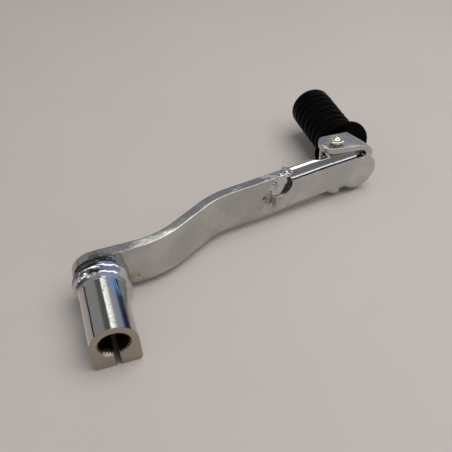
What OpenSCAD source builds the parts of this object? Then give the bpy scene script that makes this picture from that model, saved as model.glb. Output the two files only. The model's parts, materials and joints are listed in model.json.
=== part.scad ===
// Motorcycle gear shift lever with a folding, sprung toe peg.
// A splined clamp hub is welded to a flat S-bent arm. A formed channel on the end of the
// arm carries a clevis on a vertical rivet, and the clevis carries the ribbed toe rubber.
// Millimetres. The origin is on the bore axis, in the plane of the arm's inboard face.
// +X runs along the arm towards the peg, +Y points outboard along the peg, +Z is up.

/* [Hub] */
// Width of the hub, which is also the diameter of its rounded top
hub_w = 18.3; // [17.6:0.1:19.4]
// Length of the hub from its end face to the arm
hub_len = 34.6; // [30:0.1:40]
// Distance from the bore axis down to the flat of the clamp lug
hub_lug = 13; // [12.6:0.1:14.5]
// Radius of the two lower edges of the lug
lug_corner_r = 2; // [1:0.1:3]
// Radius of the spline crests
spline_crest_r = 5.6; // [5.4:0.05:5.8]
// Depth of the spline grooves
spline_depth = 0.5; // [0.3:0.05:0.6]
// Number of spline grooves
spline_count = 30; // [24:1:36]
// Depth of the chamfer at the bore mouth
mouth_chamfer = 0.8; // [0.4:0.1:1.2]
// Width of the clamp slit
slit_w = 2; // [1.4:0.1:2.6]
// Distance between the blind end of the slit and the arm
slit_stop = 5; // [4:0.5:8]
// Distance of the pinch bolt axis below the bore axis
bolt_drop = 8.6; // [8.4:0.1:9]
// Distance of the pinch bolt axis from the hub's end face
bolt_inset = 14; // [10:0.5:20]
// Radius of the clearance half of the pinch bolt hole
bolt_clear_r = 3.25; // [3.1:0.05:3.4]
// Radius of the tapped half of the pinch bolt hole
bolt_tap_r = 2.5; // [2.4:0.05:2.6]

/* [Arm] */
// Height of the flat bar
arm_h = 20; // [19:0.1:21]
// Thickness of the flat bar
arm_t = 4.5; // [4:0.1:5]
// Distance from the bore axis to the start of the outward bend
arm_first_len = 16; // [14:0.5:18]
// Angle of the outward bend
bend_out_deg = 30; // [26:0.5:34]
// Radius of the outward bend on the inboard face
bend_out_r = 40; // [36:0.5:44]
// Length of the sloping straight between the bends
arm_slope_len = 15.9; // [14:0.1:18]
// Angle of the bend back
bend_back_deg = 22.5; // [20:0.5:25]
// Radius of the bend back on the inboard face
bend_back_r = 32; // [28:0.5:36]
// Length of the last straight of the bar
arm_last_len = 29.1; // [28.5:0.1:30]

/* [Hub weld] */
// How far the weld stands out from the hub at the arm
weld_out = 2.4; // [1.8:0.1:3]
// How far the weld reaches along the hub
weld_run = 10.9; // [8.9:0.5:11.9]
// How far down the sides of the hub the weld runs
weld_down = 8.6; // [7:0.1:9]

// How far the weld's toe stands out along the arm
toe_out = 3.8; // [3:0.1:4.4]
// How far the toe reaches along the hub
toe_run = 13; // [11:0.5:15]
// Distance of the toe's top below the bore axis
toe_drop = 2; // [0:0.5:4]

/* [Tip bracket] */
// Thickness of the channel sheet
sheet_t = 2.3; // [2.2:0.05:2.4]
// Height of the channel's upper face above the bore axis
channel_top = 9.6; // [9.4:0.05:9.65]
// Depth of the channel's lower face below the bore axis
channel_bottom = 9.8; // [9.6:0.05:9.85]
// Outer radius of the channel's upper bend
channel_bend_r = 7; // [6:0.1:7]
// Outer radius of the channel's lower edge
channel_low_r = 1.2; // [0.6:0.1:1.6]
// Depth of the flanges beside the bar
flange_depth = 5.4; // [5:0.1:5.6]
// Depth of the flanges where they clear the folding clevis
flange_waist = 3.4; // [3:0.1:3.6]
// Radius of the flange ears around the rivet
flange_boss_r = 4.7; // [4.4:0.1:5]
// Length of the flanges past the rivet
flange_reach = 8.8; // [8:0.1:9.2]
// Radius of the tongue's round end
tongue_r = 9.1; // [8.6:0.1:9.3]
// Distance from the rivet to the centre of the tongue's round end
tongue_reach = 11; // [10.6:0.1:11.4]

/* [Pivot] */
// Distance of the rivet along the channel from the end of the bar
pivot_along = 28.1; // [27.8:0.1:28.4]
// Distance of the rivet behind the channel's front face
pivot_back = 6.1; // [6:0.05:6.3]
// Radius of the rivet shank
shank_r = 2; // [1.8:0.05:2.1]
// Radial clearance of the shank in the channel's flanges
pivot_clearance = 0.06; // [0.02:0.01:0.1]
// Radius of the rivet heads
head_r = 3.65; // [3.4:0.05:3.9]
// Height of the domed upper head
head_h = 3.8; // [3:0.1:4.2]
// Height of the lower head
foot_h = 2.5; // [1.8:0.1:3]

/* [Clevis] */
// Thickness of the clevis sheet
clevis_t = 3; // [2.6:0.1:3.1]
// Gap between each ear and the channel
ear_gap = 0.15; // [0.1:0.05:0.3]
// Radius of the round end of the ears
ear_r = 6.3; // [6:0.1:6.6]
// Distance from the rivet to the round end of the ears
ear_left = 7.3; // [7:0.1:7.6]
// Radius of the lower ear around the rivet
low_ear_r = 5.5; // [5.2:0.1:5.5]
// Distance from the rivet square to the outer face of the clevis's side wall
clevis_reach = 14.7; // [14.5:0.1:15]
// Slant of the side wall, which stands further out towards the front
wall_slant_deg = 15.5; // [14:0.5:17]
// Distance from the rivet to the rear face of the back plate
clevis_back = 8.4; // [8.3:0.05:8.7]
// Width of the back plate on the hub's side of the rivet
plate_left = 4.4; // [4:0.1:4.8]
// Outer radius of the bends beside the side wall
side_bend_r = 6.6; // [6:0.1:6.8]
// Outer radius of the bends beside the back plate
back_bend_r = 2.5; // [2:0.1:2.5]
// Gap between the clevis and the tongue it rests against
stop_gap = 0.08; // [0.05:0.01:0.15]

/* [Peg] */
// Distance of the peg's axis from the rivet along the arm
peg_side = 9.65; // [9.2:0.05:10]
// Height of the peg's axis above the bore axis
peg_rise = 0.5; // [0:0.1:1]
// Radius of the peg rod
rod_r = 3.6; // [3.2:0.1:4]
// Length of the peg rod from the back plate
rod_len = 37.5; // [36:0.5:38.5]
// Radius of the bulb that keeps the rubber on
bulb_r = 5; // [4.8:0.1:5.6]
// Length of the bulb
bulb_len = 5; // [4:0.5:6]
// Distance from the back plate to the rubber's base
rubber_gap = 2.3; // [2.2:0.1:3]
// Distance from the back plate to the rubber's far end
rubber_end = 41.6; // [41:0.1:43]
// Radius of the rubber over its ribs
rubber_r = 10.8; // [10.4:0.1:11.4]
// Radius of the rubber's base flange
rubber_flange_r = 14; // [13:0.1:14.5]
// Thickness of the rubber's base flange
rubber_flange_t = 2.6; // [2:0.1:3]
// Radius at the foot of the flare between the flange and the ribs
flare_r = 12.4; // [11.6:0.1:12.8]
// Length of the flare
flare_len = 3.8; // [3:0.1:3.9]
// Number of ribs
rib_count = 6; // [4:1:6]
// Distance between neighbouring ribs
rib_pitch = 4.35; // [4.1:0.05:4.4]
// Half the width of a rib
rib_r = 1.6; // [1.3:0.05:1.65]
// Rounding of the rubber's far end
rubber_end_r = 2.6; // [1:0.1:3.2]

/* [Return spring] */
// Diameter of the spring wire
wire_d = 1.1; // [0.9:0.05:1.2]
// Mean radius of the coils
coil_r = 3.1; // [3.05:0.05:3.1]
// Number of coils
coil_count = 10; // [6:1:10]
// Distance of the coils' middle below the bore axis
coil_drop = 1.8; // [1.8:0.1:2.2]
// Length of the leg that rests on the channel's front wall
leg_len = 10; // [8:0.5:12]

/* [Hidden] */
$fn = 64;

chrome_col = [0.8, 0.81, 0.83];
weld_col = [0.62, 0.62, 0.64];
zinc_col = [0.74, 0.73, 0.68];
rubber_col = [0.06, 0.06, 0.07];

// Overlap that makes a cut run cleanly through a face
eps = 1;
// Clearance of a fixed piece in its own hole
fit_gap = 0.02;

hub_r = hub_w / 2;
spigot_r = hub_r - 1.15;
mouth_r = spline_crest_r + mouth_chamfer;
mouth_lead = 0.4;
tip_deg = bend_out_deg - bend_back_deg;

// Start of the last straight of the bar, in plan
slope_x = arm_first_len + bend_out_r * sin(bend_out_deg) + arm_slope_len * cos(bend_out_deg);
slope_y = bend_out_r * (1 - cos(bend_out_deg)) + arm_slope_len * sin(bend_out_deg);
tip_x = slope_x + bend_back_r * (sin(bend_out_deg) - sin(tip_deg));
tip_y = slope_y + bend_back_r * (cos(tip_deg) - cos(bend_out_deg));

// Rivet axis, first along and behind the last straight, then in plan
pivot_u = arm_last_len + pivot_along;
pivot_x = tip_x + pivot_u * cos(tip_deg) - pivot_back * sin(tip_deg);
pivot_y = tip_y + pivot_u * sin(tip_deg) + pivot_back * cos(tip_deg);

ear_in = channel_bottom + ear_gap;
ear_out = ear_in + clevis_t;
tongue_top = 5.2;
// Overlap of the tongue with the end of the channel's bend
tongue_lap = 0.05;
// Clearance above and below the tongue in the clevis
tongue_room = 0.4;
// Distance past the rivet at which the tongue's clearance in the lower ear begins
slot_start = 1.2;
nugget_u = arm_last_len - 3.5;
nugget_z = 4;
nugget_pocket_r = 5.6;
nugget_r = 5.2;
nugget_depth = 1;
rubber_core_r = rubber_r - rib_r;
rib_first = rubber_gap + rubber_flange_t + flare_len + rib_r;
rib_valley = 0.6;
band_start = rib_first + (rib_count - 1) * rib_pitch + rib_r + rib_valley;

// Frame of the last straight and the channel: X along the bar, Y behind its inboard face
module in_tip_frame() {
    translate([tip_x, tip_y, 0])
        rotate([0, 0, tip_deg])
            children();
}

// Frame of the rivet, with its axes parallel to the main ones
module in_pivot_frame() {
    translate([pivot_x, pivot_y, 0])
        children();
}

// Frame of the peg: Z along the peg from the rear face of the back plate
module in_peg_frame() {
    in_pivot_frame()
        translate([peg_side, clevis_back, peg_rise])
            rotate([-90, 0, 0])
                children();
}

// Extrudes a (Y, Z) outline along +X
module along_x(len) {
    rotate([90, 0, 90])
        linear_extrude(height = len)
            children();
}

// Extrudes an (X, Z) outline along -Y
module along_minus_y(len) {
    rotate([90, 0, 0])
        linear_extrude(height = len)
            children();
}

// ---- Hub ----

// Tombstone outline of the hub in its end view
module hub_outline() {
    union() {
        circle(r = hub_r);
        translate([-hub_r, -hub_lug + lug_corner_r])
            square([hub_w, hub_lug - lug_corner_r]);
        translate([-hub_r + lug_corner_r, -hub_lug])
            square([hub_w - 2 * lug_corner_r, hub_lug]);
        for (side = [-1, 1])
            translate([side * (hub_r - lug_corner_r), -hub_lug + lug_corner_r])
                circle(r = lug_corner_r);
    }
}

// Bore outline: a circle at the crests with a ring of grooves half a pitch wide
module spline_outline() {
    pitch = 360 / spline_count;
    crest_half = spline_crest_r * sin(pitch / 4);
    root_half = crest_half * 0.45;
    union() {
        circle(r = spline_crest_r);
        for (i = [0:spline_count - 1])
            rotate([0, 0, i * pitch])
                polygon([
                    [spline_crest_r - spline_depth, 2 * crest_half - root_half],
                    [spline_crest_r - spline_depth, root_half - 2 * crest_half],
                    [spline_crest_r + spline_depth, -root_half],
                    [spline_crest_r + spline_depth, root_half]
                ]);
    }
}

module clamp_hub() {
    color(chrome_col)
        difference() {
            union() {
                along_minus_y(hub_len)
                    hub_outline();
                rotate([-90, 0, 0])
                    cylinder(r = spigot_r, h = arm_t);
            }
            translate([0, arm_t + eps, 0])
                along_minus_y(hub_len + arm_t + 2 * eps)
                    spline_outline();
            translate([0, -hub_len + mouth_chamfer + mouth_lead, 0])
                rotate([90, 0, 0])
                    cylinder(r1 = spline_crest_r - mouth_lead, r2 = mouth_r, h = mouth_chamfer + mouth_lead);
            translate([-slit_w / 2, -hub_len - eps, -hub_lug - eps])
                cube([slit_w, hub_len + eps - slit_stop, hub_lug + eps]);
            translate([0, -hub_len + bolt_inset, -bolt_drop])
                rotate([0, 90, 0])
                    cylinder(r = bolt_tap_r, h = hub_w);
            translate([0, -hub_len + bolt_inset, -bolt_drop])
                rotate([0, -90, 0])
                    cylinder(r = bolt_clear_r, h = hub_w);
        }
}

// ---- Arm ----

// Round pocket that the weld nugget fills, in the last straight's frame
module nugget_pocket() {
    translate([nugget_u, nugget_depth, nugget_z])
        rotate([90, 0, 0])
            cylinder(r = nugget_pocket_r, h = nugget_depth + eps);
}

// Points along an arc about (cx, cy), from one angle to another
function arc_points(cx, cy, r, from, to, steps) = [
    for (i = [0:steps])
        let (a = from + (to - from) * i / steps)
            [cx + r * cos(a), cy + r * sin(a)]
];

// Plan of the bar: three straights and two bends, inboard face first
module bar_plan() {
    out_steps = 24;
    back_steps = 18;
    back_x = slope_x + bend_back_r * sin(bend_out_deg);
    back_y = slope_y - bend_back_r * cos(bend_out_deg);
    end_x = tip_x + arm_last_len * cos(tip_deg);
    end_y = tip_y + arm_last_len * sin(tip_deg);
    polygon(concat(
        [[-arm_h, 0]],
        arc_points(arm_first_len, bend_out_r, bend_out_r, -90, bend_out_deg - 90, out_steps),
        arc_points(back_x, back_y, bend_back_r, 90 + bend_out_deg, 90 + tip_deg, back_steps),
        [[end_x, end_y]],
        [[end_x - arm_t * sin(tip_deg), end_y + arm_t * cos(tip_deg)]],
        arc_points(back_x, back_y, bend_back_r + arm_t, 90 + tip_deg, 90 + bend_out_deg, back_steps),
        arc_points(arm_first_len, bend_out_r, bend_out_r - arm_t, bend_out_deg - 90, -90, out_steps),
        [[-arm_h, arm_t]]
    ));
}

// Front view of the bar: half round about the bore axis
module bar_front() {
    union() {
        circle(r = arm_h / 2);
        translate([0, -arm_h / 2])
            square([2 * slope_x, arm_h]);
    }
}

module bar_solid() {
    intersection() {
        translate([0, 0, -arm_h / 2])
            linear_extrude(height = arm_h)
                bar_plan();
        translate([0, slope_x, 0])
            along_minus_y(2 * slope_x)
                bar_front();
    }
}

module arm_bar() {
    color(chrome_col)
        difference() {
            bar_solid();
            rotate([-90, 0, 0])
                translate([0, 0, -eps])
                    cylinder(r = spigot_r, h = arm_t + 2 * eps);
            in_tip_frame()
                nugget_pocket();
        }
}

// ---- Hub weld ----

// Weld section: X outwards from the bore axis, Y along the hub from the arm
module weld_outline() {
    union() {
        polygon([
            [hub_r, 0],
            [hub_r + weld_out * 0.35, 0],
            [hub_r + weld_out * 0.6, weld_run * 0.25],
            [hub_r + weld_out * 0.5, weld_run * 0.65],
            [hub_r, weld_run]
        ]);
        translate([hub_r + weld_out * 0.5, weld_run * 0.44])
            circle(r = weld_out * 0.45);
    }
}

// Toe of the weld on the arm's side of the hub, in plan
module toe_plan() {
    polygon([
        [hub_r, 0],
        [hub_r + toe_out, 0],
        [hub_r + toe_out * 0.45, -toe_run * 0.35],
        [hub_r, -toe_run]
    ]);
}

module hub_weld() {
    color(weld_col)
        union() {
            rotate([90, 0, 0])
                rotate_extrude(angle = 180)
                    weld_outline();
            for (side = [0, 1])
                mirror([side, 0, 0])
                    translate([0, 0, -weld_down])
                        mirror([0, 1, 0])
                            linear_extrude(height = weld_down)
                                weld_outline();
            translate([0, 0, -weld_down])
                linear_extrude(height = weld_down - toe_drop)
                    toe_plan();
        }
}

// ---- Tip bracket ----

// Channel section: X behind the front face, Y up
module channel_section() {
    depth = pivot_back + flange_boss_r + eps;
    union() {
        translate([0, -channel_bottom + channel_low_r])
            square([sheet_t, channel_bottom - channel_low_r + channel_top - channel_bend_r]);
        translate([channel_low_r, -channel_bottom])
            square([depth - channel_low_r, sheet_t]);
        intersection() {
            translate([channel_low_r, -channel_bottom + channel_low_r])
                circle(r = channel_low_r);
            translate([0, -channel_bottom])
                square([channel_low_r, channel_low_r]);
        }
        translate([0, -channel_bottom + channel_low_r])
            square([sheet_t, sheet_t]);
        translate([channel_bend_r, channel_top - sheet_t])
            square([depth - channel_bend_r, sheet_t]);
        intersection() {
            translate([channel_bend_r, channel_top - channel_bend_r])
                difference() {
                    circle(r = channel_bend_r);
                    circle(r = channel_bend_r - sheet_t);
                }
            translate([0, channel_top - channel_bend_r])
                square([channel_bend_r, channel_bend_r]);
        }
    }
}

// Plan of the channel: full depth at the bar, a waist for the folding clevis, ears at the rivet
module channel_plan() {
    waist_start = pivot_u - 13.7;
    waist_end = pivot_u - 9.7;
    union() {
        polygon([
            [arm_last_len, -eps],
            [pivot_u + flange_reach, -eps],
            [pivot_u + flange_reach, flange_waist],
            [waist_end, flange_waist],
            [waist_start, flange_depth],
            [arm_last_len, flange_depth]
        ]);
        translate([pivot_u - flange_boss_r, 0])
            square([flange_boss_r, pivot_back]);
        translate([pivot_u, pivot_back])
            circle(r = flange_boss_r);
        translate([pivot_u, 0])
            square([flange_reach, pivot_back + 0.4]);
    }
}

// Tongue in front view: a disc past the channel's end that also hangs below its flat face
module tongue_outline() {
    start = pivot_u + flange_reach;
    centre = pivot_u + tongue_reach;
    union() {
        intersection() {
            translate([centre, tongue_top - tongue_r])
                circle(r = tongue_r);
            union() {
                translate([start - tongue_lap, -2 * tongue_r])
                    square([2 * tongue_r, 4 * tongue_r]);
                translate([start - 2 * tongue_r, -2 * tongue_r])
                    square([2 * tongue_r + 2 * eps, 2 * tongue_r]);
            }
        }
        translate([start + eps, -channel_bottom])
            square([centre - start - eps, channel_bottom + tongue_top]);
        translate([start - eps, -channel_bottom])
            square([3 * eps, channel_bottom + channel_top - channel_bend_r]);
    }
}

module tip_bracket() {
    color(chrome_col)
        in_tip_frame()
            difference() {
                union() {
                    intersection() {
                        translate([arm_last_len, 0, 0])
                            along_x(pivot_along + flange_reach)
                                channel_section();
                        translate([0, 0, -channel_bottom - eps])
                            linear_extrude(height = channel_bottom + channel_top + 2 * eps)
                                channel_plan();
                    }
                    translate([0, sheet_t, 0])
                        along_minus_y(sheet_t)
                            tongue_outline();
                }
                nugget_pocket();
                translate([pivot_u, pivot_back, -channel_bottom - eps])
                    cylinder(r = shank_r + pivot_clearance, h = channel_bottom + channel_top + 2 * eps);
            }
}

module bracket_weld() {
    bead_r = 1.9;
    bead_z = arm_h / 2 - 0.7;
    dome_r = 24;
    color(weld_col)
        union() {
            difference() {
                in_tip_frame()
                    translate([arm_last_len, 0, bead_z])
                        union() {
                            translate([0, arm_t, 0])
                                rotate([90, 0, 0])
                                    cylinder(r = bead_r, h = arm_t - 0.8);
                            translate([0, arm_t, 0])
                                sphere(r = bead_r);
                            translate([0, 0.8, 0])
                                sphere(r = bead_r);
                        }
                bar_solid();
                in_tip_frame()
                    translate([arm_last_len, 0, -channel_bottom])
                        cube([4 * bead_r, arm_h, channel_bottom + channel_top]);
            }
            in_tip_frame()
                intersection() {
                    translate([nugget_u - 0.4, nugget_depth, nugget_z + 0.3])
                        rotate([90, 0, 0])
                            cylinder(r = nugget_r - 0.3, h = 2 * nugget_depth);
                    translate([nugget_u - 0.4, dome_r - 0.35, nugget_z + 0.3])
                        sphere(r = dome_r, $fn = 128);
                }
        }
}

// ---- Clevis ----

// Plan of an ear about the rivet: round towards the hub, open towards the side wall
module ear_plan() {
    centre_x = ear_r - ear_left;
    centre_y = clevis_back - ear_r;
    front_y = centre_y - ear_r;
    front_drop = 1.3;
    union() {
        translate([centre_x, centre_y])
            circle(r = ear_r);
        polygon([
            [centre_x, front_y],
            [peg_side, front_y - front_drop],
            [2 * clevis_reach, front_y - front_drop],
            [2 * clevis_reach, clevis_back],
            [centre_x, clevis_back]
        ]);
    }
}

// Clevis in front view, solid: rounded beside the side wall
module clevis_front_outline(half, reach, r) {
    left = 3 * ear_r;
    union() {
        translate([-left, -half])
            square([left + reach - r, 2 * half]);
        translate([-left, -half + r])
            square([left + reach, 2 * (half - r)]);
        for (side = [-1, 1])
            translate([reach - r, side * (half - r)])
                circle(r = r);
    }
}

// Clevis in end view, solid: rounded beside the back plate
module clevis_end_outline(half, back, r) {
    union() {
        translate([-2 * ear_r, -half])
            square([2 * ear_r + back - r, 2 * half]);
        translate([-2 * ear_r, -half + r])
            square([2 * ear_r + back, 2 * (half - r)]);
        for (side = [-1, 1])
            translate([back - r, side * (half - r)])
                circle(r = r);
    }
}

// Runs the front outline of the clevis from front to back, square to the slanted side wall
module across_clevis(half, reach, r) {
    depth = 4 * ear_r;
    rotate([0, 0, wall_slant_deg])
        translate([0, depth / 2, 0])
            along_minus_y(depth)
                clevis_front_outline(half, reach, r);
}

// Block with the clevis's outer shape, before it is hollowed
module clevis_block() {
    intersection() {
        across_clevis(ear_out, clevis_reach, side_bend_r);
        translate([-2 * ear_r, 0, 0])
            along_x(2 * ear_r + 2 * clevis_reach)
                clevis_end_outline(ear_out, clevis_back, back_bend_r);
        union() {
            linear_extrude(height = ear_out)
                ear_plan();
            translate([0, 0, -ear_out])
                linear_extrude(height = ear_out)
                    union() {
                        ear_plan();
                        circle(r = low_ear_r);
                    }
        }
    }
}

// Space inside the clevis: in front of its back plate, and open on the hub's side of it
module clevis_cavity() {
    far = 3 * ear_r;
    intersection() {
        across_clevis(ear_in, clevis_reach - clevis_t, side_bend_r - clevis_t);
        translate([0, 0, -ear_out])
            linear_extrude(height = 2 * ear_out)
                polygon([
                    [-far, -far],
                    [far, -far],
                    [far, clevis_back - clevis_t],
                    [-plate_left, clevis_back - clevis_t],
                    [-plate_left, far],
                    [-far, far]
                ]);
    }
}

module peg_bracket() {
    color(chrome_col)
        difference() {
            in_pivot_frame()
                difference() {
                    clevis_block();
                    clevis_cavity();
                    translate([0, 0, -ear_out - eps])
                        cylinder(r = shank_r + fit_gap, h = 2 * ear_out + 2 * eps);
                }
            in_tip_frame()
                translate([pivot_u + slot_start, -4 * eps, tongue_top - 2 * tongue_r - tongue_room])
                    cube([3 * tongue_r, sheet_t + stop_gap + 4 * eps, 2 * (tongue_r + tongue_room)]);
        }
}

// ---- Rivet ----

// Head with an upright rim and a domed top
module rivet_head(height, rim) {
    cap = height - rim;
    ball_r = (head_r * head_r + cap * cap) / (2 * cap);
    intersection() {
        cylinder(r = head_r, h = height);
        translate([0, 0, height - ball_r])
            sphere(r = ball_r);
    }
}

module pivot_rivet() {
    color(zinc_col)
        in_pivot_frame()
            union() {
                translate([0, 0, -ear_out])
                    cylinder(r = shank_r, h = 2 * ear_out);
                translate([0, 0, ear_out])
                    rivet_head(head_h, head_h * 0.12);
                translate([0, 0, -ear_out])
                    mirror([0, 0, 1])
                        rivet_head(foot_h, foot_h * 0.2);
            }
}

// ---- Peg ----

module peg_rod() {
    neck = rod_len - bulb_len;
    slope = 1.2;
    color(zinc_col)
        in_peg_frame()
            rotate_extrude()
                polygon([
                    [0, 0],
                    [rod_r, 0],
                    [rod_r, neck - slope],
                    [bulb_r, neck],
                    [bulb_r, rod_len - slope],
                    [bulb_r - slope, rod_len],
                    [0, rod_len]
                ]);
}

// Fillet of weld around the foot of the rod, with a dished face
module rod_weld() {
    leg = 1.6;
    bulge = 0.4;
    color(weld_col)
        intersection() {
            in_peg_frame()
                rotate_extrude()
                    translate([rod_r, 0])
                        difference() {
                            square([leg, leg]);
                            translate([leg + bulge, leg + bulge])
                                circle(r = leg);
                        }
            in_pivot_frame()
                rotate([0, 0, wall_slant_deg])
                    translate([-clevis_reach, -clevis_reach, -2 * ear_r])
                        cube([2 * clevis_reach, 3 * clevis_reach, 4 * ear_r]);
        }
}

// Half section of the rubber: X outwards, Y along the peg
module rubber_section() {
    neck = rod_len - bulb_len;
    slope = 1.2;
    difference() {
        union() {
            translate([0, rubber_gap])
                square([rubber_core_r, rubber_end - rubber_gap - rubber_end_r]);
            translate([0, rubber_gap])
                square([rubber_flange_r - rubber_flange_t / 2, rubber_flange_t]);
            translate([rubber_flange_r - rubber_flange_t / 2, rubber_gap + rubber_flange_t / 2])
                circle(r = rubber_flange_t / 2);
            polygon([
                [rubber_core_r - eps, rubber_gap + rubber_flange_t - eps],
                [flare_r, rubber_gap + rubber_flange_t - eps],
                [flare_r, rubber_gap + rubber_flange_t],
                [rubber_core_r + rib_r / 2, rubber_gap + rubber_flange_t + flare_len],
                [rubber_core_r - eps, rubber_gap + rubber_flange_t + flare_len]
            ]);
            for (i = [0:rib_count - 1])
                translate([rubber_core_r, rib_first + i * rib_pitch])
                    circle(r = rib_r);
            translate([0, band_start])
                square([rubber_r, rubber_end - rubber_end_r - band_start]);
            translate([0, rubber_end - rubber_end_r])
                square([rubber_r - rubber_end_r, rubber_end_r]);
            translate([rubber_r - rubber_end_r, rubber_end - rubber_end_r])
                circle(r = rubber_end_r);
        }
        polygon([
            [0, rubber_gap - eps],
            [rod_r, rubber_gap - eps],
            [rod_r, neck - slope],
            [bulb_r, neck],
            [bulb_r, rod_len - slope],
            [bulb_r - slope, rod_len],
            [0, rod_len]
        ]);
    }
}

module rubber_grip() {
    color(rubber_col)
        in_peg_frame()
            rotate_extrude()
                rubber_section();
}

// ---- Return spring ----

// Close-wound coils with one leg on the channel's front wall and one on the back plate
module return_spring() {
    wire_r = wire_d / 2;
    leg_r = wire_r - 0.1;
    leg_lap = 0.15;
    pitch = wire_d - 0.1;
    half = (coil_count - 1) * pitch / 2;
    push_x = -plate_left + 0.75;
    push_y = clevis_back - clevis_t - wire_r - 0.05;
    reach = sqrt(push_x * push_x + push_y * push_y);
    leave_deg = atan2(push_y, push_x) - acos(coil_r / reach);
    push_len = sqrt(reach * reach - coil_r * coil_r);
    color(zinc_col)
        union() {
            in_pivot_frame()
                for (i = [0:coil_count - 1])
                    translate([0, 0, -coil_drop - half + i * pitch])
                        rotate_extrude()
                            translate([coil_r, 0])
                                circle(r = wire_r, $fn = 24);
            in_tip_frame()
                translate([pivot_u + leg_lap, pivot_back - coil_r, -coil_drop - half])
                    rotate([0, -90, 0])
                        cylinder(r = leg_r, h = leg_len + leg_lap, $fn = 24);
            in_pivot_frame()
                rotate([0, 0, leave_deg])
                    translate([coil_r, 0, half - coil_drop])
                        rotate([-90, 0, 0])
                            cylinder(r = leg_r, h = push_len, $fn = 24);
        }
}

clamp_hub();
arm_bar();
hub_weld();
tip_bracket();
bracket_weld();
peg_bracket();
pivot_rivet();
peg_rod();
rod_weld();
rubber_grip();
return_spring();
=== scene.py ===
import json
import math

import bmesh
import bpy
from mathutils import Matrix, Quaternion, Vector, noise


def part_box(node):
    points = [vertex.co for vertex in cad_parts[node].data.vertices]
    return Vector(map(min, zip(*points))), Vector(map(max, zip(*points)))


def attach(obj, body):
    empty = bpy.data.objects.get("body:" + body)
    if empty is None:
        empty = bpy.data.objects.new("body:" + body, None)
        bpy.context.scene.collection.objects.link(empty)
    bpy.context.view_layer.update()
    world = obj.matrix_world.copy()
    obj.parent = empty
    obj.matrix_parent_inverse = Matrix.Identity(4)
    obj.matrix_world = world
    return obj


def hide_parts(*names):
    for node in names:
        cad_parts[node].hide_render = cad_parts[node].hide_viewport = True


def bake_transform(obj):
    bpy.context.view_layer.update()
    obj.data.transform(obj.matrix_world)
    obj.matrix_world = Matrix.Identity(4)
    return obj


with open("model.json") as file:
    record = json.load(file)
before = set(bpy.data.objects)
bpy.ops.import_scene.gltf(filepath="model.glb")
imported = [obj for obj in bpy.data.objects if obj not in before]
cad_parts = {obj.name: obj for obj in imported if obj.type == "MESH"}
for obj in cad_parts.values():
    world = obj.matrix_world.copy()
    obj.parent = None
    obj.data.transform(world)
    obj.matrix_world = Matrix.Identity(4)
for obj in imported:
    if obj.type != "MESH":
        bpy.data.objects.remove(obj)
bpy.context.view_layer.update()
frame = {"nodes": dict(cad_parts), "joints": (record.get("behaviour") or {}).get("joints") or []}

MM = 0.001
NODES = frame["nodes"]
PIVOT = Vector(frame["joints"][0]["pos_m"])


# ---- Places and sizes ----

# Turn of the channel's straight about +Z, and the rivet's place from the end of the bar
TIP_TURN = math.radians(7.5)
TIP_ALONG = 28.1
TIP_BEHIND = 6.1
ALONG = Vector((math.cos(TIP_TURN), math.sin(TIP_TURN), 0))
BEHIND = Vector((-math.sin(TIP_TURN), math.cos(TIP_TURN), 0))


def place(x, y, z):
    """Point in the shared frame, given in millimetres."""
    return Vector((x, y, z)) * MM


def tip(u, v, z):
    """Point (mm) from the end of the bar: u along the channel, v behind its front face, z up."""
    return PIVOT + (ALONG * (u - TIP_ALONG) + BEHIND * (v - TIP_BEHIND)) * MM + place(0, 0, z)


def centre(node):
    """Middle of a CAD node's box."""
    low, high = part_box(node)
    return (low + high) / 2


def half_width(node):
    """Radius (mm) of a round CAD node, from the width of its box."""
    low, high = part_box(node)
    return (high.x - low.x) / 2 / MM


def angles(sides):
    """Evenly spaced angles round a circle."""
    return [2 * math.pi * i / sides for i in range(sides)]


# ---- Node helpers ----

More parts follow.
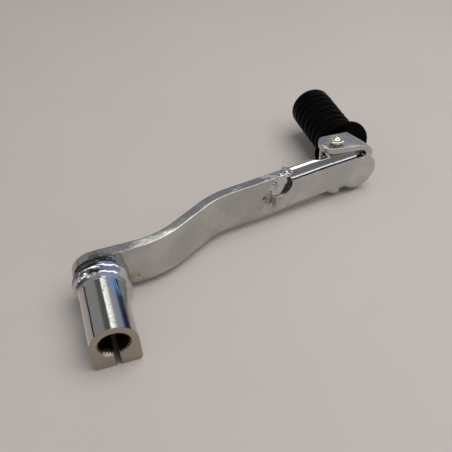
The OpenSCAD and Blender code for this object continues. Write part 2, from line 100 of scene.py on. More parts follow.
class Nodes:
    """Short names for building one node tree. Lengths are in mm, and noise scales are per metre."""

    def __init__(self, tree):
        self.tree = tree
        tree.nodes.clear()

    def add(self, kind, **values):
        node = self.tree.nodes.new(kind)
        for key, value in values.items():
            setattr(node, key, value)
        return node

    def link(self, a, b):
        self.tree.links.new(a, b)

    def math(self, op, *values, clamp=False):
        """One operation on sockets or plain numbers."""
        node = self.add("ShaderNodeMath", operation=op, use_clamp=clamp)
        for socket, value in zip(node.inputs, values):
            if isinstance(value, bpy.types.NodeSocket):
                self.link(value, socket)
            else:
                socket.default_value = value
        return node.outputs[0]

    def product(self, first, *others):
        """Masks or numbers multiplied together from left to right."""
        result = first
        for other in others:
            result = self.math("MULTIPLY", result, other)
        return result

    def step(self, value, none, full):
        """0 at the value none, 1 at the value full, with a smooth change between them."""
        node = self.add("ShaderNodeMapRange", interpolation_type="SMOOTHSTEP")
        self.link(value, node.inputs["Value"])
        node.inputs["From Min"].default_value = none
        node.inputs["From Max"].default_value = full
        return node.outputs["Result"]

    def edge(self, distance, none, full):
        """The same step for a coordinate or distance, with its two ends in millimetres."""
        return self.step(distance, none * MM, full * MM)

    def near(self, coord, point, radius, soft):
        """0 outside a radius (mm) of a place in the frame, rising to 1 over a share of the radius."""
        node = self.add("ShaderNodeVectorMath", operation="DISTANCE")
        self.link(coord, node.inputs[0])
        node.inputs[1].default_value = tuple(point)
        return self.edge(node.outputs["Value"], radius, radius * (1 - soft))

    def ramp(self, value, stops):
        """Colours blended along a value, from stops of (position, colour)."""
        node = self.add("ShaderNodeValToRGB")
        ramp = node.color_ramp
        while len(ramp.elements) < len(stops):
            ramp.elements.new(0.5)
        for element, (position, colour) in zip(ramp.elements, stops):
            element.position = position
            element.color = (*colour, 1)
        self.link(value, node.inputs[0])
        return node.outputs[0]

    def mix(self, factor, a, b):
        """Colour a where the factor is 0, colour b where it is 1."""
        node = self.add("ShaderNodeMix", data_type="RGBA")
        for name, value in (("Factor", factor), ("A", a), ("B", b)):
            socket = [s for s in node.inputs if s.name == name and s.enabled][0]
            if isinstance(value, bpy.types.NodeSocket):
                self.link(value, socket)
            else:
                socket.default_value = (*value, 1)
        return [s for s in node.outputs if s.enabled][0]

    def tint(self, base, mask, strength, colour):
        """Lays a colour over the base where the mask is 1, at the given strength."""
        return self.mix(self.product(mask, strength), base, colour)

    def noise(self, coord, scale, detail, rough):
        node = self.add("ShaderNodeTexNoise")
        node.inputs["Scale"].default_value = scale
        node.inputs["Detail"].default_value = detail
        node.inputs["Roughness"].default_value = rough
        self.link(coord, node.inputs["Vector"])
        return node.outputs["Fac"]

    def axes(self, coord):
        """The X, Y and Z of a coordinate."""
        node = self.add("ShaderNodeSeparateXYZ")
        self.link(coord, node.inputs[0])
        return node.outputs[0], node.outputs[1], node.outputs[2]

    def scaled(self, coord, scales):
        """The coordinate scaled along X, Y and Z, for noise that is drawn out one way."""
        node = self.add("ShaderNodeVectorMath", operation="MULTIPLY")
        self.link(coord, node.inputs[0])
        node.inputs[1].default_value = scales
        return node.outputs[0]

    def bump(self, height, depth, normal=None):
        """Tilts the surface by a height map of the given depth in millimetres."""
        node = self.add("ShaderNodeBump")
        node.inputs["Distance"].default_value = depth * MM
        self.link(height, node.inputs["Height"])
        if normal is not None:
            self.link(normal, node.inputs["Normal"])
        return node.outputs["Normal"]


def new_material(name):
    """A material with its node helper, its shader and the object coordinate."""
    material = bpy.data.materials.new(name)
    material.use_nodes = True
    nodes = Nodes(material.node_tree)
    shader = nodes.add("ShaderNodeBsdfPrincipled")
    output = nodes.add("ShaderNodeOutputMaterial")
    nodes.link(shader.outputs[0], output.inputs[0])
    coord = nodes.add("ShaderNodeTexCoord").outputs["Object"]
    return material, nodes, shader, coord


# ---- Materials ----

def chrome(name, colour, rough, wave, pits, marks=None):
    """Plate over steel: slow waves, fine haze, small pits, and marks of the piece's own."""
    material, n, shader, coord = new_material(name)
    browned = (colour[0] * 0.80, colour[1] * 0.74, colour[2] * 0.66)
    film = n.step(n.noise(coord, 45, 5, 0.65), 0.5, 0.8)
    base = n.tint(colour, film, 0.22, browned)
    specks = n.step(n.noise(coord, 900, 2, 0.5), 0.70, 0.76)
    base = n.tint(base, specks, pits, (0.12, 0.1, 0.09))
    haze = n.noise(coord, 60, 4, 0.6)
    spread = n.math("MULTIPLY_ADD", haze, rough, rough * 0.5)
    normal = n.bump(n.noise(coord, 55, 1, 0.4), 0.4 * wave)
    normal = n.bump(n.noise(coord, 420, 2, 0.5), 0.02 * wave, normal)
    if marks is not None:
        base, spread, normal = marks(n, coord, base, spread, normal)
    n.link(base, shader.inputs["Base Color"])
    shader.inputs["Metallic"].default_value = 1.0
    n.link(spread, shader.inputs["Roughness"])
    n.link(normal, shader.inputs["Normal"])
    return material


def clouds(n, coord, base, tint):
    """Pale cloudy patches in the plate, with a little grey dirt over them."""
    patch = n.step(n.noise(coord, 62, 4, 0.55), 0.40, 0.68)
    base = n.tint(base, patch, 0.75, tint)
    dirt = n.step(n.noise(coord, 260, 4, 0.6), 0.45, 0.75)
    return n.tint(base, dirt, 0.20, (0.36, 0.355, 0.34))


def hub_marks(n, coord, base, spread, normal):
    """End face, bore and slit, a painted dark reflection down the right side and a painted white glint high
    on the left, a pale blue tint towards the weld, a painted glint under the bore, and grit on the crown.
    """
    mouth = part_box("clamp_hub")[0].y / MM
    x, y, z = n.axes(coord)
    end = n.edge(y, mouth + 0.3, mouth + 0.12)
    grain = n.noise(coord, 700, 4, 0.6)
    satin = n.mix(grain, (0.37, 0.325, 0.275), (0.48, 0.425, 0.365))
    base = n.mix(end, base, satin)
    # Dirt in the bore and the slit
    from_axis = n.math("SQRT", n.math("ADD", n.product(x, x), n.product(z, z)))
    bore = n.edge(from_axis, 6.6, 6.0)
    slit = n.product(n.edge(n.math("ABSOLUTE", x), 1.25, 1.05), n.edge(z, -4, -5))
    hollow = n.math("MAXIMUM", bore, slit)
    dirt = n.mix(n.noise(coord, 350, 4, 0.6), (0.05, 0.032, 0.02), (0.30, 0.21, 0.13))
    base = n.mix(hollow, base, dirt)
    # A painted dark blue reflection down the right side and a painted white glint line high on the left, both
    # clear of the mouth
    past_mouth = n.edge(y, mouth + 0.1, mouth + 0.5)
    painted_dark_reflection_line = n.product(n.edge(x, 4.6, 5.4), n.edge(x, 7.4, 6.6), n.edge(z, 0, 3), past_mouth)
    base = n.tint(base, painted_dark_reflection_line, 0.85, (0.075, 0.11, 0.19))
    # A pale blue tint high on the right side, towards the weld
    pale_blue_patch = n.product(n.edge(y, -21, -13), n.edge(x, 3.0, 4.6), n.edge(x, 7.8, 6.6))
    base = n.tint(base, pale_blue_patch, 0.85, (0.42, 0.66, 1.0))
    # Painted white glint line high on the left
    painted_white_glint_line = n.product(n.edge(x, -8.0, -8.6), n.edge(z, 1.0, 1.6), past_mouth, n.edge(z, 4.0, 3.0))
    base = n.mix(painted_white_glint_line, base, (1.0, 1.0, 1.0))
    # Painted pale glint under the bore
    painted_glint_patch = n.near(coord, place(-3.0, mouth + 0.8, -4.6), 2.6, 0.6)
    base = n.tint(base, painted_glint_patch, 0.9, (0.80, 0.79, 0.76))
    rougher = n.math("MAXIMUM", n.product(end, 0.30), n.product(hollow, 0.34))
    spread = n.math("ADD", spread, rougher)
    crown = n.product(n.edge(x, 0.2, 1.2), n.edge(x, 3.4, 2.4))
    grit = n.step(n.noise(coord, 1700, 3, 0.6), 0.57, 0.63)
    normal = n.bump(n.product(grit, crown, 0.5), 0.09, normal)
    normal = n.bump(n.product(grain, end), 0.12, normal)
    return base, spread, normal


# Places (mm) and radii (mm) of the small rust dots on the bar's front face
RUST_DOTS = [
    ((15.8, 0.0, -6.3), 0.55),
    ((29.1, 1.8, 3.9), 0.4),
    ((15.0, 0.0, -8.5), 0.35),
]


def arm_marks(n, coord, base, spread, normal):
    """Cloudy plate, a brown corner, painted shade and rust dots near the hub, stains by the channel and pits.
    """
    x, y, z = n.axes(coord)
    base = clouds(n, coord, base, (0.60, 0.61, 0.575))
    corner = n.near(coord, place(13.5, -1, -8.5), 8, 0.9)
    corner = n.product(corner, n.step(n.noise(coord, 160, 4, 0.6), 0.28, 0.60))
    base = n.tint(base, corner, 0.85, (0.34, 0.22, 0.13))
    # Painted shade on the front face beside the hub weld, under the top edge
    painted_shade_by_weld = n.product(n.edge(x, 10.0, 4.5), n.edge(z, 3.5, 6.2), n.edge(y, 0.6, 0.3))
    painted_shade_by_weld = n.product(painted_shade_by_weld, n.step(n.noise(coord, 190, 4, 0.6), 0.18, 0.45))
    base = n.tint(base, painted_shade_by_weld, 0.92, (0.035, 0.032, 0.030))
    for point, radius in RUST_DOTS:
        base = n.mix(n.near(coord, place(*point), radius, 0.5), base, (0.09, 0.05, 0.03))
    # A dark dot and a patch of upright stains beside the nugget of the bracket weld
    base = n.mix(n.near(coord, tip(-12.6, 0, 0.6), 1.1, 0.6), base, (0.05, 0.045, 0.04))
    upright = n.scaled(coord, (1.0, 1.0, 0.35))
    stain = n.near(coord, tip(-9.6, 0, -2.6), 7.8, 0.9)
    stain = n.product(stain, n.step(n.noise(upright, 420, 5, 0.65), 0.46, 0.60))
    base = n.tint(base, stain, 0.85, (0.10, 0.088, 0.075))
    spread = n.math("ADD", spread, n.product(stain, 0.2))
    # Pits along the top edge by the hub and round the far end's top corner
    top_edge = n.product(n.edge(x, 1, 4), n.edge(x, 16.5, 12), n.edge(z, 8.8, 9.6))
    near_end = n.near(coord, tip(-3, 2, 10), 9, 0.5)
    pits = n.step(n.noise(coord, 900, 3, 0.6), 0.56, 0.62)
    normal = n.bump(n.product(pits, n.math("MAXIMUM", top_edge, near_end)), 0.35, normal)
    return base, spread, normal


def sheet_marks(n, coord, base, spread, normal):
    """Cloudy plate with shallow dents from pressing."""
    base = clouds(n, coord, base, (0.63, 0.64, 0.62))
    normal = n.bump(n.noise(coord, 130, 2, 0.5), 0.16, normal)
    return base, spread, normal


def weld_marks(n, coord, base, spread, normal):
    """Painted shade in the valley beside the bar, painted dark reflections streaked over the crown, a painted
    blue highlight band on the right and a brown film.
    """
    x, y, z = n.axes(coord)
    # Painted shade in the valley beside the bar
    valley = n.product(n.edge(y, -5.6, -4.0), n.edge(x, 6, 2), n.edge(z, 1, 5))
    valley = n.product(valley, n.step(n.noise(coord, 170, 4, 0.6), 0.20, 0.42))
    base = n.tint(base, valley, 0.95, (0.02, 0.019, 0.018))
    # Painted dark reflections, streaked along the crown
    painted_dark_streaks = n.step(n.noise(n.scaled(coord, (0.16, 1.0, 0.16)), 520, 2, 0.5), 0.44, 0.56)
    crown = n.product(n.edge(x, 4, 0), n.edge(x, -10.5, -8), n.edge(y, -9.5, -7.5))
    base = n.tint(base, n.product(painted_dark_streaks, crown), 0.93, (0.035, 0.033, 0.032))
    # Painted blue highlight over the weld's right side
    blue = n.product(n.edge(x, 0, 3), n.edge(x, 11, 8))
    base = n.tint(base, blue, 0.55, (0.66, 0.74, 1.0))
    film = n.step(n.noise(coord, 210, 5, 0.65), 0.52, 0.72)
    base = n.tint(base, film, 0.5, (0.16, 0.14, 0.125))
    normal = n.bump(n.noise(coord, 230, 2, 0.5), 0.6, normal)
    return base, spread, normal


def painted_gap_shade_material():
    """Near-black material for painted shade in the gap beside a weld."""
    material, n, shader, coord = new_material("weld_scale")
    colour = n.mix(n.noise(coord, 500, 4, 0.6), (0.006, 0.006, 0.006), (0.03, 0.026, 0.022))
    n.link(colour, shader.inputs["Base Color"])
    shader.inputs["Roughness"].default_value = 0.6
    n.link(n.bump(n.noise(coord, 900, 3, 0.6), 0.2), shader.inputs["Normal"])
    return material


def rubber():
    """Matt moulded rubber with a faint sheen, a dusty bloom and a fine grain."""
    material, n, shader, coord = new_material("black_rubber")
    dust = n.step(n.noise(coord, 120, 5, 0.6), 0.45, 0.8)
    colour = n.mix(dust, (0.0004, 0.0004, 0.0006), (0.0012, 0.0012, 0.0013))
    n.link(colour, shader.inputs["Base Color"])
    spread = n.math("MULTIPLY_ADD", n.noise(coord, 300, 3, 0.6), 0.2, 0.24)
    n.link(spread, shader.inputs["Roughness"])
    shader.inputs["Specular IOR Level"].default_value = 0.035
    n.link(n.bump(n.noise(coord, 1600, 3, 0.6), 0.04), shader.inputs["Normal"])
    return material


def floor_paint():
    """Pale warm-grey table top with a soft mottle."""
    material, n, shader, coord = new_material("floor_paint")
    colour = n.mix(n.noise(coord, 14, 4, 0.5), (0.435, 0.405, 0.375), (0.475, 0.430, 0.400))
    n.link(colour, shader.inputs["Base Color"])
    shader.inputs["Roughness"].default_value = 0.6
    shader.inputs["Specular IOR Level"].default_value = 0.15
    return material


# Name, colour, roughness, depth of the waves, strength of the pits, and the piece's own marks
HUB_CHROME = chrome("chrome_hub", (0.55, 0.55, 0.55), 0.05, 0.5, 0.35, hub_marks)
ARM_CHROME = chrome("chrome_arm", (0.47, 0.47, 0.465), 0.06, 1.2, 0.25, arm_marks)
SHEET_CHROME = chrome("chrome_sheet", (0.50, 0.50, 0.50), 0.07, 0.7, 0.2, sheet_marks)
WELD_CHROME = chrome("chrome_weld", (0.60, 0.60, 0.615), 0.17, 1.6, 0.5, weld_marks)
ZINC = chrome("zinc_rivet", (0.72, 0.69, 0.60), 0.16, 0.8, 0.2)
ROD_STEEL = chrome("steel_rod", (0.5, 0.5, 0.49), 0.25, 0.8, 0.3)
SPRING_STEEL = chrome("spring_steel", (0.5, 0.5, 0.48), 0.2, 0.6, 0.2)
# Near-black painted shade for the gap beside the bracket weld
PAINTED_GAP_SHADE = painted_gap_shade_material()
RUBBER = rubber()


def paint(obj, material):
    """Gives the whole piece one material."""
    obj.data.materials.clear()
    obj.data.materials.append(material)


# ---- CAD nodes, with broken or rolled edges ----

# Corners of the CAD mesh closer than this (m) are one corner, and edges sharper than this are broken
SAME_CORNER = 2e-6
SHARP = math.radians(32)


def join_faces(obj):
    """Joins a CAD node's faces, which come apart at sharp edges, into one skin."""
    weld = obj.modifiers.new("weld", "WELD")
    weld.merge_threshold = SAME_CORNER


def soften(node, width, segments, material):
    """Shows a CAD node with its sharp edges broken by a narrow bevel (mm)."""
    obj = NODES[node]
    for polygon in obj.data.polygons:
        polygon.use_smooth = True
    join_faces(obj)
    bevel = obj.modifiers.new("bevel", "BEVEL")
    bevel.width = width * MM
    bevel.segments = segments
    bevel.angle_limit = SHARP
    weighted = obj.modifiers.new("weighted", "WEIGHTED_NORMAL")
    weighted.keep_sharp = True
    paint(obj, material)


def melt(obj, voxel, passes, factor):
    """Rebuilds a piece from voxels (mm) and relaxes it, which rounds every edge by a few voxels."""
    remesh = obj.modifiers.new("remesh", "REMESH")
    remesh.mode = "VOXEL"
    remesh.voxel_size = voxel * MM
    remesh.use_smooth_shade = True
    relax = obj.modifiers.new("relax", "SMOOTH")
    relax.factor = factor
    relax.iterations = passes


def round_over(node, voxel, passes, material):
    """Shows a CAD node with all its edges rolled over, as on stock that was tumbled and plated."""
    obj = NODES[node]
    join_faces(obj)
    melt(obj, voxel, passes, 0.5)
    paint(obj, material)


soften("clamp_hub", 0.25, 2, HUB_CHROME)
round_over("arm_bar", 0.25, 8, ARM_CHROME)
round_over("tip_bracket", 0.17, 8, SHEET_CHROME)
round_over("peg_bracket", 0.22, 18, SHEET_CHROME)
soften("peg_rod", 0.2, 3, ROD_STEEL)
soften("rod_weld", 0.2, 3, ROD_STEEL)


# ---- Shape helpers ----

def new_piece(name, mesh_builder, material, body, node):
    """Makes a mesh piece, gives it a material and a body, and hides the CAD node it takes the place of."""
    mesh = bpy.data.meshes.new(name)
    bm = bmesh.new()
    mesh_builder(bm)
    bmesh.ops.recalc_face_normals(bm, faces=bm.faces)
    bm.to_mesh(mesh)
    bm.free()
    for polygon in mesh.polygons:
        polygon.use_smooth = True
    obj = bpy.data.objects.new(name, mesh)
    bpy.context.scene.collection.objects.link(obj)
    paint(obj, material)
    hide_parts(node)
    if body:
        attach(obj, body)
    return obj


def ring_faces(bm, rings, close=True):
    """Faces between neighbouring loops of vertices, and caps on the first and last loop."""
    for a, b in zip(rings, rings[1:]):
        count = len(a)
        for i in range(count):
            j = (i + 1) % count
            bm.faces.new((a[i], a[j], b[j], b[i]))
    if close:
        bm.faces.new(rings[0])
        bm.faces.new(list(reversed(rings[-1])))


def cone_faces(bm, ring, point):
    """Closes a loop of vertices with a fan to one point."""
    peak = bm.verts.new(point)
    for i in range(len(ring)):
        bm.faces.new((ring[i], ring[(i + 1) % len(ring)], peak))


def bell(value, middle, width):
    """Bell curve: 1 in the middle, about a third at one width to either side."""
    return math.exp(-((value - middle) / width) ** 2)


def smooth(value, none, full):
    """0 at the value none, 1 at the value full, with a smooth change between them."""
    t = min(max((value - none) / (full - none), 0), 1)
    return t * t * (3 - 2 * t)


def lumps(point, size, seed):
    """Smooth noise between -1 and 1 with features of about size millimetres."""
    return noise.noise(Vector(point) / size + Vector((seed, seed * 1.7, seed * 0.3)))


# ---- Weld round the hub ----

# How far the bead runs down the hub's left and right sides (mm)
BEAD_LEFT = 8.4
BEAD_RIGHT = 9.6
# How deep the bead's edges sink into the bar and the hub, and how deep its root lies in the hub (mm)
BEAD_SINK = 0.15
BEAD_ROOT = 0.7
# Stations along the left side, over the crown and along the right side
LEFT_STATIONS = 24
CROWN_STATIONS = 96
RIGHT_STATIONS = 28


def bead_path(hub_r):
    """Stations up the hub's left side, over its crown and down the right: place, way out and angle."""
    path = []
    for i in range(LEFT_STATIONS):
        z = -BEAD_LEFT * (1 - i / LEFT_STATIONS)
        path.append((-hub_r, z, -1, 0, 180 - math.degrees(z / hub_r)))
    for i in range(CROWN_STATIONS + 1):
        a = math.radians(180 - 180 * i / CROWN_STATIONS)
        path.append((hub_r * math.cos(a), hub_r * math.sin(a), math.cos(a), math.sin(a), math.degrees(a)))
    for i in range(1, RIGHT_STATIONS + 1):
        z = -BEAD_RIGHT * i / RIGHT_STATIONS
        path.append((hub_r, z, 1, 0, math.degrees(z / hub_r)))
    return path


def bead_height(t, point, toe, ridge, fade):
    """Height over the hub at a share t of the way out from the bar, with waves and small lumps."""
    h = toe * (1 - t) ** 2.4 + ridge * bell(t, 0.42, 0.25)
    h += 0.22 * fade * bell(t, 0.82, 0.10) * (0.6 + 0.8 * lumps(point, 3.2, 3.1))
    h += fade * (0.45 * lumps(point, 6.5, 1.3) + 0.07 * lumps(point, 1.5, 7.7)) * bell(t, 0.45, 0.38)
    return max(h * (1 - t ** 8), 0.02)


def build_hub_weld(bm):
    """Bead round the hub: a ridge, a valley beside the bar and a long toe at the lower right."""
    path = bead_path(half_width("clamp_hub"))
    samples = 30
    rings = []
    for k, (px, pz, nx, nz, angle) in enumerate(path):
        share = k / (len(path) - 1)
        fade = smooth(share, 0, 0.10) * smooth(share, 1.0, 0.93)
        ridge = (2.0 + 0.25 * bell(angle, 60, 60) - 0.5 * bell(angle, 190, 40)) * fade
        toe = (0.45 + 3.4 * bell(angle, -40, 24)) * (0.25 + 0.75 * fade)
        run = 10.3 + 2.6 * bell(angle, -42, 30) - 1.2 * bell(angle, 205, 30)
        ring = []
        for j in range(samples + 1):
            t = j / samples
            y = BEAD_SINK - (run + BEAD_SINK) * t
            h = -BEAD_SINK
            if j < samples:
                above = (px * 1.1, y, pz * 1.1)
                h = bead_height(t, above, toe, ridge, fade)
            ring.append(bm.verts.new(place(px + nx * h, y, pz + nz * h)))
        for y in (-run - 0.1, BEAD_SINK):
            ring.append(bm.verts.new(place(px - nx * BEAD_ROOT, y, pz - nz * BEAD_ROOT)))
        rings.append(ring)
    ring_faces(bm, rings)


# ---- Weld and a puck of painted shade at the channel ----

# Lumps of the bracket weld: centre and radii along the channel, behind its face and up (mm)
BRACKET_LUMPS = [
    ((-5.2, 0.75, 5.0), (4.0, 1.35, 4.2)),
    ((-3.3, 0.80, 6.4), (2.8, 1.50, 2.8)),
    ((-8.0, 0.95, 5.6), (3.1, 1.25, 3.0)),
    ((-5.6, 0.85, 1.6), (2.9, 1.05, 2.6)),
    ((-0.4, 1.60, 9.3), (2.0, 2.3, 1.35)),
    ((-3.4, 1.20, 9.3), (2.2, 1.7, 1.15)),
    ((-6.7, 1.20, 9.0), (2.1, 1.5, 1.05)),
    ((1.3, 2.30, 8.9), (1.7, 1.9, 1.25)),
    ((0.0, 4.10, 9.4), (1.7, 1.9, 1.15)),
    ((0.1, 0.74, -5.4), (1.4, 0.74, 4.9)),
]


def blob(bm, middle, radii, seed):
    """Lumpy ellipsoid in the channel's frame: middle and radii are along, behind and up (mm)."""
    made = bmesh.ops.create_icosphere(bm, subdivisions=4, radius=1.0)
    for vert in made["verts"]:
        p = vert.co * (1 + 0.16 * noise.noise(vert.co * 1.6 + Vector((seed, 0, 0))))
        u, v, z = (middle[i] + radii[i] * p[i] for i in range(3))
        vert.co = tip(u, v, z)


def build_bracket_weld(bm):
    """The round nugget, the bead over the joint's top edge and the seam below, as overlapping lumps."""
    for i, (middle, radii) in enumerate(BRACKET_LUMPS):
        blob(bm, middle, radii, i * 3.7)


def build_gap_shade_puck(bm):
    """Thin puck of near-black painted shade on the floor of the pocket beside the nugget."""
    radius = 5.5
    along, up = -3.5, 4
    rings = []
    for behind in (0.98, 0.80):
        ring = []
        for a in angles(48):
            r = radius + 0.06 * math.sin(5 * a)
            v = behind - 0.08 * noise.noise(Vector((math.cos(a) * 2, math.sin(a) * 2, behind)))
            ring.append(bm.verts.new(tip(along + r * math.cos(a), v, up + r * math.sin(a))))
        rings.append(ring)
    ring_faces(bm, rings)


# ---- Return spring ----

# Radii of the wire and the coil, half the coil's height, and its middle's drop below the bore axis (mm)
WIRE_R = 0.5
COIL_R = 3.1
COIL_HALF = 4.5
COIL_DROP = 1.8
COIL_TURNS = 9
# Lengths of the two legs (mm) and the turn at which the rear leg leaves the coil
FRONT_LEG = 10
REAR_LEG = 4.9
REAR_TURN = math.radians(68.2)


def spring_path():
    """Middle of the wire (mm, from the coil's middle): front leg, close helix, rear leg."""
    first_turn = TIP_TURN - math.pi / 2
    last_turn = REAR_TURN + 2 * math.pi * COIL_TURNS
    start = Vector((COIL_R * math.cos(first_turn), COIL_R * math.sin(first_turn), -COIL_HALF))
    path = [start - ALONG * (FRONT_LEG * (1 - i / 8)) for i in range(8)]
    steps = 330
    for i in range(steps + 1):
        a = first_turn + (last_turn - first_turn) * i / steps
        rise = -COIL_HALF + 2 * COIL_HALF * i / steps
        path.append(Vector((COIL_R * math.cos(a), COIL_R * math.sin(a), rise)))
    last = path[-1]
    away = Vector((-math.sin(REAR_TURN), math.cos(REAR_TURN), 0))
    path += [last + away * (REAR_LEG * (i + 1) / 5) for i in range(5)]
    return path


def build_spring(bm):
    """One wound wire: a leg on the channel's front wall, a close helix and a leg on the clevis's plate."""
    path = spring_path()
    middle = PIVOT - place(0, 0, COIL_DROP)
    rings = []
    for i, point in enumerate(path):
        ahead = (path[min(i + 1, len(path) - 1)] - path[max(i - 1, 0)]).normalized()
        side = ahead.cross(Vector((0, 0, 1))).normalized()
        up = side.cross(ahead)
        ring = []
        for a in angles(10):
            offset = (side * math.cos(a) + up * math.sin(a)) * WIRE_R
            ring.append(bm.verts.new(middle + (point + offset) * MM))
        rings.append(ring)
    ring_faces(bm, rings)


# ---- Toe rubber ----

# Flange and the flare behind it (mm)
FLANGE_THICK = 2.6
FLANGE_ROUND = 1.1
FLARE_R = 12.5
FLARE_LONG = 4.2
# Ribs: radii, half the width of one, the place of the first and the distance between them (mm)
RIB_R = 10.8
GROOVE_R = 9.7
RIB_HALF = 2.0
RIB_FIRST = 8.0
RIB_PITCH = 4.35
RIB_COUNT = 6
# Roundness of the free end, and the distance between points of the outline (mm)
END_ROUND = 2.6
OUTLINE_STEP = 0.16
# Bore: play round the rod's bulb, the step from bulb to neck, its slope, and the bulb's length (mm)
BULB_PLAY = 0.02
BULB_STEP = 1.4
BULB_SLOPE = 1.2
BULB_LONG = 5


def rubber_radius(t, length, flange_r):
    """Outside radius of the rubber at a distance t from its flange (mm)."""
    into_end = t - (length - END_ROUND)
    if into_end > 0:
        return RIB_R - END_ROUND + math.sqrt(max(0, END_ROUND ** 2 - into_end ** 2))
    if t <= FLANGE_THICK / 2:
        from_rim = 1 - t / (FLANGE_THICK / 2)
        return flange_r - FLANGE_ROUND * (1 - math.sqrt(1 - from_rim ** 2.6))
    if t < FLANGE_THICK:
        return flange_r - (flange_r - FLARE_R) * smooth(t, FLANGE_THICK * 0.62, FLANGE_THICK)
    along_flare = min((t - FLANGE_THICK) / FLARE_LONG, 1)
    flare = GROOVE_R + (FLARE_R - GROOVE_R) * (1 - along_flare) ** 2.2
    crests = [RIB_FIRST + k * RIB_PITCH for k in range(RIB_COUNT)]
    from_crest = min(min(abs(t - crest) for crest in crests) / RIB_HALF, 1)
    band_start = crests[-1] + RIB_HALF
    rise = max((1 - from_crest ** 2.2) ** 0.7, smooth(t, band_start, band_start + 0.45))
    return max(flare, GROOVE_R + (RIB_R - GROOVE_R) * rise)


def bore_outline(bulb_r, rod_end):
    """Outline of the bore round the rod's neck and bulb, as (radius, distance along) in mm."""
    wide = bulb_r + BULB_PLAY
    narrow = wide - BULB_STEP
    shoulder = rod_end - BULB_LONG
    floor = rod_end + BULB_PLAY
    return [(narrow, 0), (narrow, shoulder - BULB_SLOPE), (wide, shoulder),
            (wide, floor - BULB_SLOPE), (wide - BULB_SLOPE, floor)]


def build_rubber(bm):
    """Ribbed toe rubber turned about the peg's axis, a touch uneven, with a faint parting line."""
    low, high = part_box("rubber_grip")
    middle = centre("rubber_grip")
    length = (high.y - low.y) / MM
    flange_r = half_width("rubber_grip")
    rod_end = (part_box("peg_rod")[1].y - low.y) / MM
    bore = bore_outline(half_width("peg_rod"), rod_end)
    steps = int(length / OUTLINE_STEP)
    stations = [length * i / steps for i in range(steps + 1)]
    # A shallow dish in the free end
    dish = [(7.2, length - 0.05), (6.2, length - 0.25), (3.0, length - 0.3), (0.8, length - 0.35)]

    def on_axis(along):
        return Vector((middle.x, low.y + along * MM, middle.z))

    def loop(radius, along, uneven):
        ring = []
        for a in angles(128):
            r = radius
            if uneven:
                point = (radius * math.cos(a), along, radius * math.sin(a))
                r += 0.10 * lumps(point, 9, 5.5) - 0.12 + 0.04 * lumps(point, 2.5, 2.2)
                from_seam = abs(math.sin(a - 0.35)) * radius
                r += 0.10 * bell(from_seam, 0, 0.30)
            ring.append(bm.verts.new(on_axis(along) + place(r * math.cos(a), 0, r * math.sin(a))))
        return ring

    inside = [loop(r, t, False) for r, t in bore]
    outside = [loop(rubber_radius(t, length, flange_r), t, t > 0.3) for t in stations]
    outside += [loop(r, t, False) for r, t in dish]
    ring_faces(bm, inside, close=False)
    cone_faces(bm, inside[-1], on_axis(rod_end + BULB_PLAY))
    ring_faces(bm, outside, close=False)
    cone_faces(bm, outside[-1], on_axis(length - 0.6))
    ring_faces(bm, [inside[0], outside[0]], close=False)


# ---- Rivet ----

SHANK_R = 2.0
# Outlines as (share of the head's radius, height in mm): up from the foot, up from the ear, down from the top
RIVET_FOOT = [(0.45, 0), (0.80, 0.25), (0.97, 1.0), (1.0, 1.6)]
RIVET_HEAD = [(0.76, -0.02), (0.74, 1.2), (0.82, 1.55), (0.96, 1.75), (1.0, 2.05),
              (0.97, 2.4), (0.86, 2.65), (0.62, 2.75), (0.50, 2.9), (0.40, 3.25)]
RIVET_DOME = [(0.27, -0.2), (0.12, -0.03)]


def build_rivet(bm):
    """Peened rivet: a shank, a collar under a flat head with a domed centre, and a low foot."""
    low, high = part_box("pivot_rivet")
    ears_low, ears_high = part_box("peg_bracket")
    axis = centre("pivot_rivet")
    axis.z = 0
    head_r = half_width("pivot_rivet")
    profile = [(head_r * share, low.z / MM + z) for share, z in RIVET_FOOT]
    profile += [(head_r * 0.95, ears_low.z / MM), (SHANK_R, ears_low.z / MM), (SHANK_R, ears_high.z / MM)]
    profile += [(head_r * share, ears_high.z / MM + z) for share, z in RIVET_HEAD]
    profile += [(head_r * share, high.z / MM + z) for share, z in RIVET_DOME]
    rings = []
    for radius, z in profile:
        ring = []
        for a in angles(64):
            r = radius * (1 + 0.02 * noise.noise(Vector((math.cos(a) * 1.5, math.sin(a) * 1.5, z))))
            ring.append(bm.verts.new(axis + place(r * math.cos(a), r * math.sin(a), z)))
        rings.append(ring)
    ring_faces(bm, rings)


# ---- Pieces made here in place of CAD nodes ----

new_piece("peened_rivet", build_rivet, ZINC, "peg", "pivot_rivet")
new_piece("hub_weld_bead", build_hub_weld, WELD_CHROME, "lever", "hub_weld")
nugget = new_piece("bracket_weld_bead", build_bracket_weld, WELD_CHROME, "lever",
                   "bracket_weld")
melt(nugget, 0.22, 5, 0.6)
# A puck of painted shade in the gap beside the nugget
new_piece("bracket_weld_scale", build_gap_shade_puck, PAINTED_GAP_SHADE, "lever", "bracket_weld")
new_piece("toe_rubber", build_rubber, RUBBER, "peg", "rubber_grip")
spring = new_piece("wound_spring", build_spring, SPRING_STEEL, None, "return_spring")
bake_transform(spring)


# ---- Stage ----

# The table's clearance under the part, and half its width (mm)
FLOOR_GAP = 0.15
FLOOR_HALF = 6000


def make_floor():
    """Table top through the hub's flat and the foot of the rivet, the two places that touch it."""
    hub_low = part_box("clamp_hub")[0].z
    foot_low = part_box("pivot_rivet")[0].z
    fall = (foot_low - hub_low) / PIVOT.x
    corners = []
    for x, y in ((-1, -1), (1, -1), (1, 1), (-1, 1)):
        height = hub_low / MM - FLOOR_GAP + fall * x * FLOOR_HALF
        corners.append(place(x * FLOOR_HALF, y * FLOOR_HALF, height))
    mesh = bpy.data.meshes.new("floor")
    mesh.from_pydata(corners, [], [(0, 1, 2, 3)])
    mesh.materials.append(floor_paint())
    floor = bpy.data.objects.new("floor", mesh)
    bpy.context.scene.collection.objects.link(floor)


# Light on everything that isn't a reflection
AMBIENT = (0.325, 0.340, 0.362)
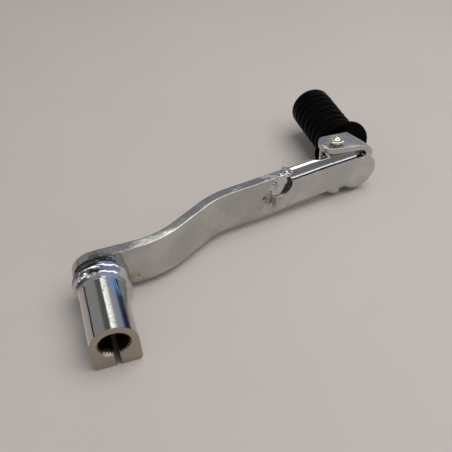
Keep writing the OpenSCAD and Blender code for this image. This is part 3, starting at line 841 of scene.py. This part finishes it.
# Room over the top, from the camera's side (0) by way of the zenith (0.5) to the far side (1)
ROOM_OVER = [
    (0.00, (0.05, 0.045, 0.04)), (0.065, (0.04, 0.035, 0.03)),
    (0.085, (1.6, 1.6, 1.7)), (0.12, (1.5, 1.5, 1.6)),
    (0.15, (0.24, 0.23, 0.225)), (0.42, (0.23, 0.22, 0.22)),
    (0.445, (3.6, 3.6, 3.7)), (0.49, (3.6, 3.6, 3.7)),
    (0.53, (0.34, 0.34, 0.36)), (0.75, (0.29, 0.29, 0.32)),
    (0.92, (0.36, 0.35, 0.34)), (1.00, (0.42, 0.40, 0.38)),
]
# Bands across the far side, from the left (0.25) by way of the zenith (0.5) to the right (0.75)
ROOM_ACROSS = [
    (0.250, (0.02, 0.022, 0.026)), (0.268, (0.03, 0.033, 0.036)), (0.285, (0.31, 0.31, 0.31)),
    (0.415, (0.30, 0.30, 0.29)), (0.45, (0.13, 0.125, 0.12)), (0.50, (0.13, 0.125, 0.115)),
    (0.520, (1.9, 1.86, 1.74)), (0.560, (1.5, 1.48, 1.42)), (0.595, (0.40, 0.42, 0.46)),
    (0.655, (0.33, 0.35, 0.44)), (0.70, (0.25, 0.28, 0.36)), (0.725, (0.07, 0.10, 0.16)),
    (0.75, (0.05, 0.07, 0.12)), (0.78, (0.42, 0.40, 0.38)),
]


def make_world():
    """A room seen only in reflections, and an even sky for everything else."""
    world = bpy.data.worlds.new("room")
    bpy.context.scene.world = world
    world.use_nodes = True
    n = Nodes(world.node_tree)
    x, y, z = n.axes(n.add("ShaderNodeTexCoord").outputs["Generated"])
    over = n.math("ARCTAN2", z, n.product(y, -1))
    over = n.math("DIVIDE", over, math.pi, clamp=True)
    across = n.math("DIVIDE", n.math("ARCTAN2", x, z), 2 * math.pi)
    across = n.math("ADD", across, 0.5, clamp=True)
    far_side = n.product(n.step(y, 0.45, 0.55), n.step(y, 0.715, 0.69))
    room = n.mix(far_side, n.ramp(over, ROOM_OVER), n.ramp(across, ROOM_ACROSS))
    diffuse = n.add("ShaderNodeLightPath").outputs["Is Diffuse Ray"]
    background = n.add("ShaderNodeBackground")
    n.link(n.mix(diffuse, room, AMBIENT), background.inputs[0])
    output = n.add("ShaderNodeOutputWorld")
    n.link(background.outputs[0], output.inputs[0])


def make_light():
    """One large soft lamp above the part, not seen in reflections."""
    data = bpy.data.lights.new("key", "AREA")
    data.shape = "DISK"
    data.size = 0.62
    data.energy = 3.9
    data.color = (1.0, 0.965, 0.93)
    light = bpy.data.objects.new("key", data)
    bpy.context.scene.collection.objects.link(light)
    light.location = place(270, -60, 600)
    light.rotation_mode = "QUATERNION"
    light.rotation_quaternion = (place(70, -10, 0) - light.location).to_track_quat("-Z", "Y")
    light.visible_glossy = False


# The camera's place and the point it looks at (mm), its roll, and its lens on a 36 mm frame
EYE = place(5.18, -164.96, 179.22)
AIM = place(56.70, 9.28, 0)
ROLL = math.radians(-2.445)
LENS = 47.353


def make_camera():
    """Camera where the photographer's stood, as fitted to the part's straight edges, circles and lengths."""
    data = bpy.data.cameras.new("camera")
    data.lens = LENS
    data.clip_start = 0.005
    data.clip_end = 20.0
    camera = bpy.data.objects.new("camera", data)
    bpy.context.scene.collection.objects.link(camera)
    camera.location = EYE
    camera.rotation_mode = "QUATERNION"
    camera.rotation_quaternion = (AIM - EYE).to_track_quat("-Z", "Y") @ Quaternion((0, 0, 1), ROLL)
    bpy.context.scene.camera = camera


make_floor()
make_world()
make_light()
make_camera()

settings = bpy.context.scene.view_settings
settings.view_transform = "Standard"
settings.look = "None"
